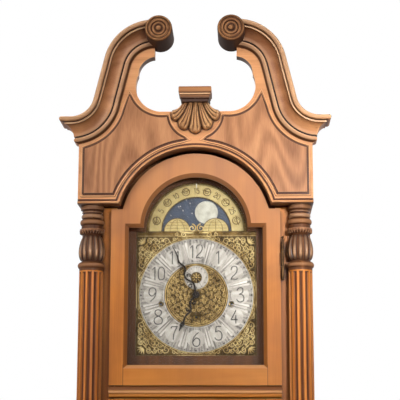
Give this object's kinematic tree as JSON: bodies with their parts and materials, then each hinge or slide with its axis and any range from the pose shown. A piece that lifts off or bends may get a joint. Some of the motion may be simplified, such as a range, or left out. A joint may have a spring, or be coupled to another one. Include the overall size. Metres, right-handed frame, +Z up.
{
  "type": "longcase clock",
  "caption": "Tall wooden case clock with a swan-neck pediment, fluted columns, a glazed arched door over a brass moon dial, a pendulum and hanging weights.",
  "frame": {"origin": "on the floor under the middle of the case", "axes": "+Z up, -Y towards the viewer of the dial, +X to the dial's right"},
  "size_m": [0.6094, 0.38, 2.18],
  "materials": {
    "case_wood": "satin lacquered cherry",
    "carved_wood": "satin lacquer, dark glaze in the hollows",
    "door_wood": "satin lacquered cherry",
    "inner_wood": "plain oiled board",
    "glass": "clear float glass",
    "aged_brass": "darkened brass",
    "brass": "polished brass",
    "silvered": "silvered and brushed",
    "lunar_enamel": "pale yellow enamel",
    "moon_blue": "dark blue paint",
    "black_steel": "blacked steel",
    "steel": "bright steel",
    "rod_wood": "varnished rod"
  },
  "bodies": {
    "case": {"back_board": "inner_wood", "case_sides": "case_wood", "corner_posts": "case_wood", "ledge_moulding": "case_wood", "lower_rail": "case_wood", "base_front": "case_wood", "base_panel": "case_wood", "base_sides": "case_wood", "base_floor": "inner_wood", "plinth_skirt": "case_wood", "waist_moulding": "case_wood", "left_column": "carved_wood", "right_column": "carved_wood", "frieze_board": "case_wood", "frieze_panels": "case_wood", "frieze_returns": "case_wood", "left_swan_neck": "case_wood", "right_swan_neck": "case_wood", "crown_returns": "case_wood", "scroll_rosettes": "carved_wood", "shell_carving": "carved_wood", "pedestal_cap": "case_wood", "hood_roof": "inner_wood", "dial_mask": "inner_wood", "seat_board": "inner_wood", "hinge_pins": "aged_brass", "front_plate": "brass", "back_plate": "brass", "plate_pillars": "brass", "dial_plate": "brass", "dial_centre": "brass", "corner_spandrels": "brass", "chapter_ring": "silvered", "seconds_ring": "silvered", "lunar_arch": "lunar_enamel", "weight_cables": "steel"},
    "hood_door": {"hood_door_frame": "door_wood", "hood_door_glass": "glass", "hood_door_hinge": "aged_brass"},
    "trunk_door": {"trunk_door_frame": "door_wood", "trunk_door_glass": "glass", "trunk_door_knob": "aged_brass", "trunk_door_hinges": "aged_brass"},
    "minute_motion": {"centre_arbor": "steel", "minute_hand": "black_steel"},
    "hour_motion": {"hour_wheel": "brass", "hour_hand": "black_steel"},
    "minute_wheel": {"minute_wheel": "brass"},
    "seconds_motion": {"escape_wheel": "brass", "seconds_hand": "black_steel"},
    "moon": {"moon_disc": "moon_blue"},
    "pendulum": {"pendulum_rod": "rod_wood", "pendulum_bob": "brass"},
    "anchor": {"anchor": "steel"},
    "left_weight": {"left_weight": "brass"},
    "left_drum": {"left_drum": "brass"},
    "centre_weight": {"centre_weight": "brass"},
    "centre_drum": {"centre_drum": "brass"},
    "right_weight": {"right_weight": "brass"},
    "right_drum": {"right_drum": "brass"}
  },
  "joints": [
    {"name": "hood_door_swing", "type": "hinge", "parent": "case", "child": "hood_door", "pos_m": [0.1947, -0.118, 1.628], "axis": [0, 0, 1], "range_deg": [0, 95]},
    {"name": "trunk_door_swing", "type": "hinge", "parent": "case", "child": "trunk_door", "pos_m": [0.1947, -0.118, 0.9], "axis": [0, 0, 1], "range_deg": [0, 95]},
    {"name": "minute_turn", "type": "hinge", "parent": "case", "child": "minute_motion", "pos_m": [0, -0.05, 1.558], "axis": [0, 1, 0], "continuous": true},
    {"name": "hour_turn", "type": "hinge", "parent": "case", "child": "hour_motion", "pos_m": [0, -0.05, 1.558], "axis": [0, 1, 0], "continuous": true},
    {"name": "minute_wheel_turn", "type": "hinge", "parent": "case", "child": "minute_wheel", "pos_m": [-0.03, -0.042, 1.558], "axis": [0, 1, 0], "continuous": true},
    {"name": "seconds_turn", "type": "hinge", "parent": "case", "child": "seconds_motion", "pos_m": [0, 0, 1.598], "axis": [0, 1, 0], "continuous": true},
    {"name": "moon_turn", "type": "hinge", "parent": "case", "child": "moon", "pos_m": [0, -0.05, 1.705], "axis": [0, 1, 0], "continuous": true},
    {"name": "pendulum_swing", "type": "hinge", "parent": "case", "child": "pendulum", "pos_m": [0, 0.078, 1.643], "axis": [0, 1, 0], "range_deg": [-3, 3]},
    {"name": "anchor_rock", "type": "hinge", "parent": "case", "child": "anchor", "pos_m": [0, 0.01, 1.643], "axis": [0, 1, 0], "range_deg": [-3, 3]},
    {"name": "left_weight_slide", "type": "slide", "parent": "case", "child": "left_weight", "axis": [0, 0, 1], "range_m": [-0.4, 0.08], "deforming": ["weight_cables"]},
    {"name": "left_drum_turn", "type": "hinge", "parent": "case", "child": "left_drum", "pos_m": [-0.08, 0.008, 1.538], "axis": [0, 1, 0], "range_deg": [-1650, 340]},
    {"name": "centre_weight_slide", "type": "slide", "parent": "case", "child": "centre_weight", "axis": [0, 0, 1], "range_m": [-0.4, 0.08], "deforming": ["weight_cables"]},
    {"name": "centre_drum_turn", "type": "hinge", "parent": "case", "child": "centre_drum", "pos_m": [0, 0.008, 1.508], "axis": [0, 1, 0], "range_deg": [-340, 1650]},
    {"name": "right_weight_slide", "type": "slide", "parent": "case", "child": "right_weight", "axis": [0, 0, 1], "range_m": [-0.4, 0.08], "deforming": ["weight_cables"]},
    {"name": "right_drum_turn", "type": "hinge", "parent": "case", "child": "right_drum", "pos_m": [0.08, 0.008, 1.538], "axis": [0, 1, 0], "range_deg": [-340, 1650]}
  ],
  "couplings": [
    {"joint": "hour_turn", "follows": "minute_turn", "ratio": 0.083333},
    {"joint": "minute_wheel_turn", "follows": "minute_turn", "ratio": -0.33333},
    {"joint": "seconds_turn", "follows": "minute_turn", "ratio": 60},
    {"joint": "moon_turn", "follows": "minute_turn", "ratio": 0.00070547},
    {"joint": "anchor_rock", "follows": "pendulum_swing", "ratio": 1},
    {"joint": "left_drum_turn", "follows": "left_weight_slide", "rad_per_m": 71.429},
    {"joint": "centre_drum_turn", "follows": "centre_weight_slide", "rad_per_m": -71.429},
    {"joint": "right_drum_turn", "follows": "right_weight_slide", "rad_per_m": -71.429}
  ]
}
